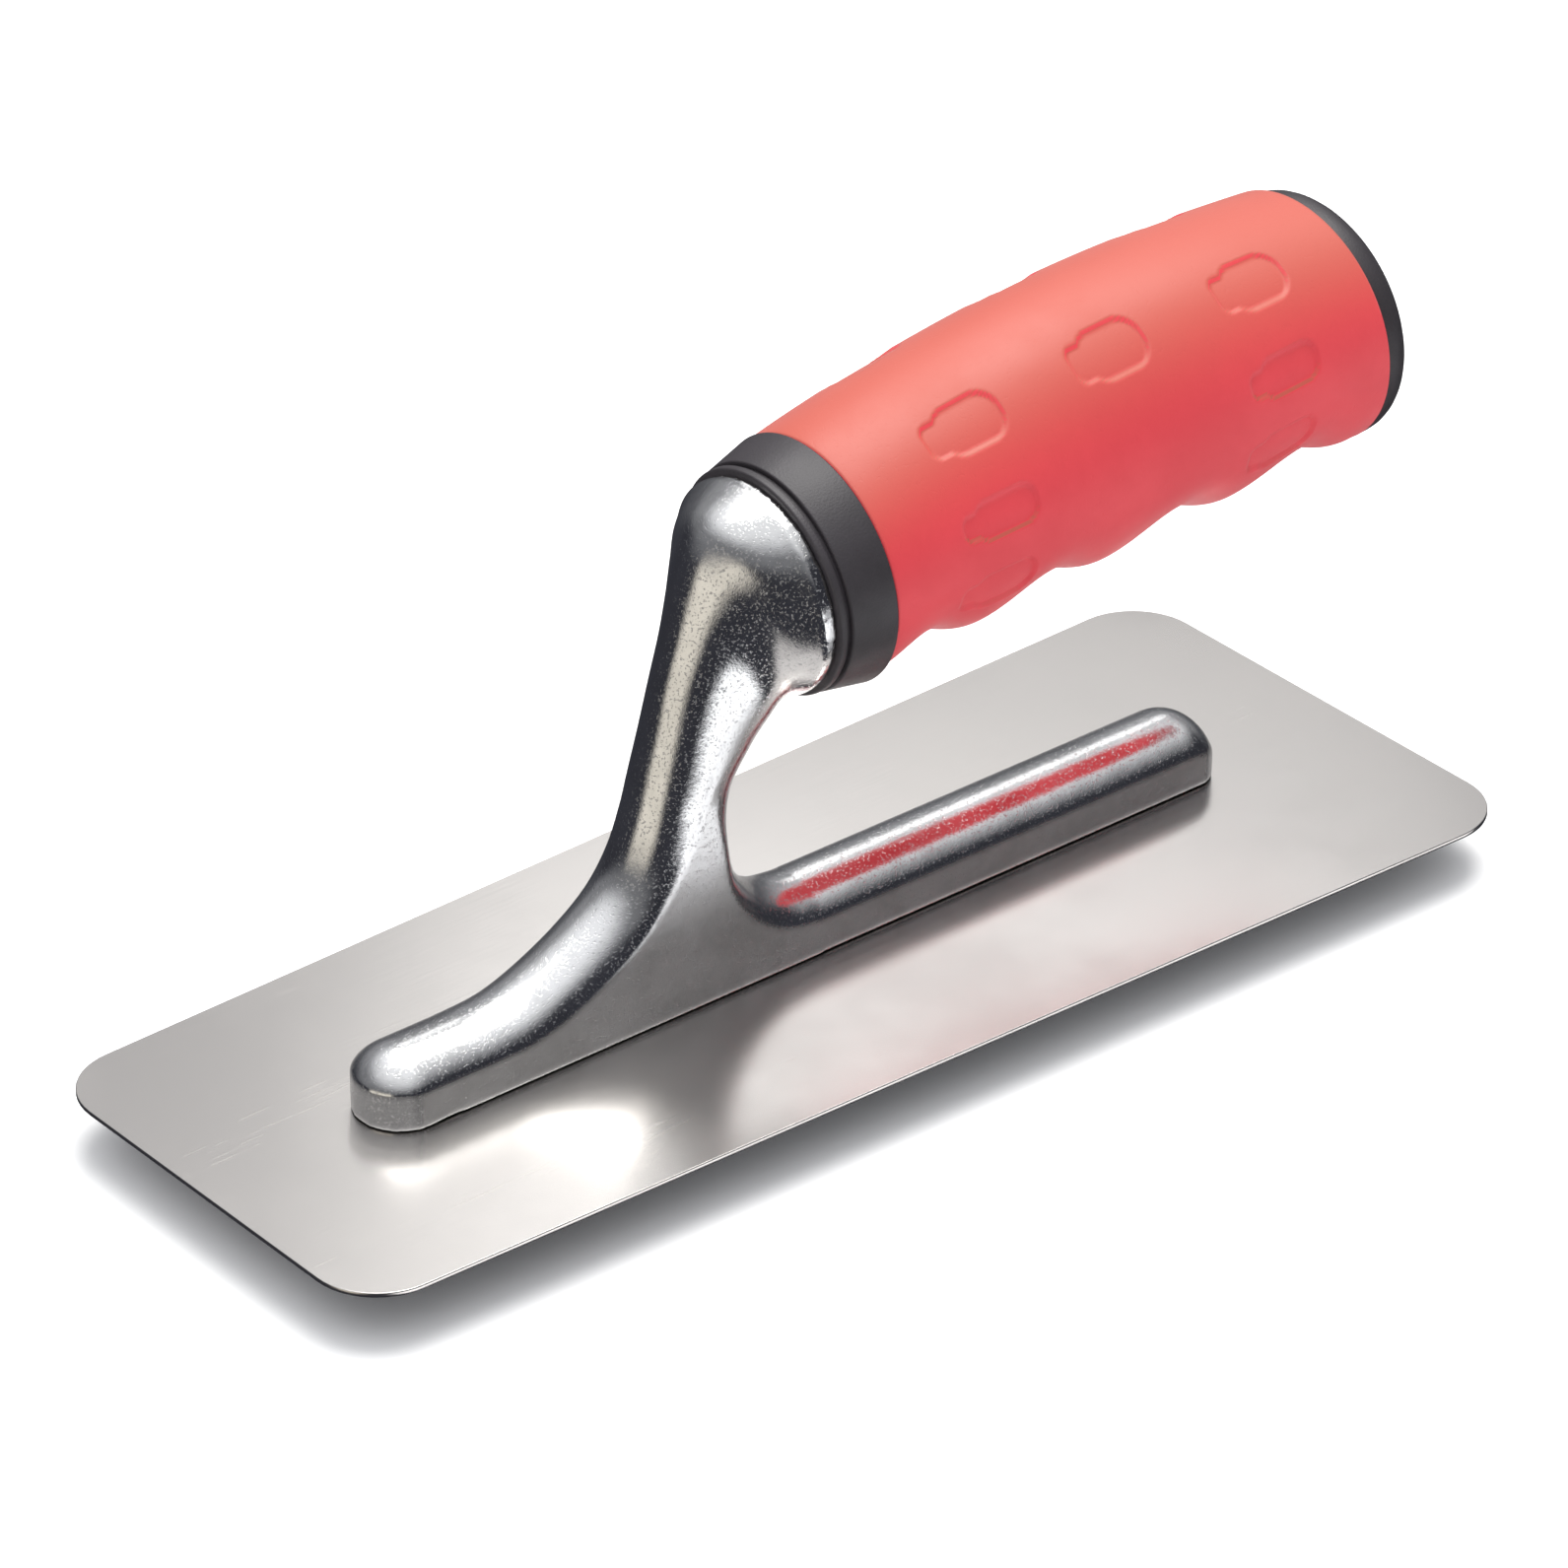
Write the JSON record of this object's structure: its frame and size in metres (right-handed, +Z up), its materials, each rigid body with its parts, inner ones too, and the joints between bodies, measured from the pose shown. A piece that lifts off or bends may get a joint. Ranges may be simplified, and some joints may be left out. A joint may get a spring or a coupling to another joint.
{
  "type": "steel finishing trowel",
  "caption": "Finishing trowel with a thin rectangular steel blade, a cast aluminium shank and a red rubber-sleeved handle with finger hollows.",
  "frame": {"origin": "centre of the blade's underside, on the plane it rests on", "axes": "+X along the blade towards the toe, +Y across the blade, +Z up, away from the working face"},
  "size_m": [0.2, 0.0794, 0.0856],
  "materials": {
    "blade_steel": "satin",
    "cast_aluminium": "polished",
    "zinc_steel": "zinc plated",
    "black_plastic": "matte",
    "red_rubber": "matte"
  },
  "bodies": {
    "root": {"blade": "blade_steel", "shank": "cast_aluminium", "neck_ring": "black_plastic", "grip_core": "black_plastic", "grip_sleeve": "red_rubber", "end_cap": "black_plastic", "tang_rod": "zinc_steel", "tang_washer": "zinc_steel", "tang_nut": "zinc_steel", "rivet_1": "cast_aluminium", "rivet_2": "cast_aluminium", "rivet_3": "cast_aluminium", "rivet_4": "cast_aluminium", "rivet_5": "cast_aluminium", "rivet_6": "cast_aluminium", "rivet_7": "cast_aluminium"}
  },
  "joints": []
}
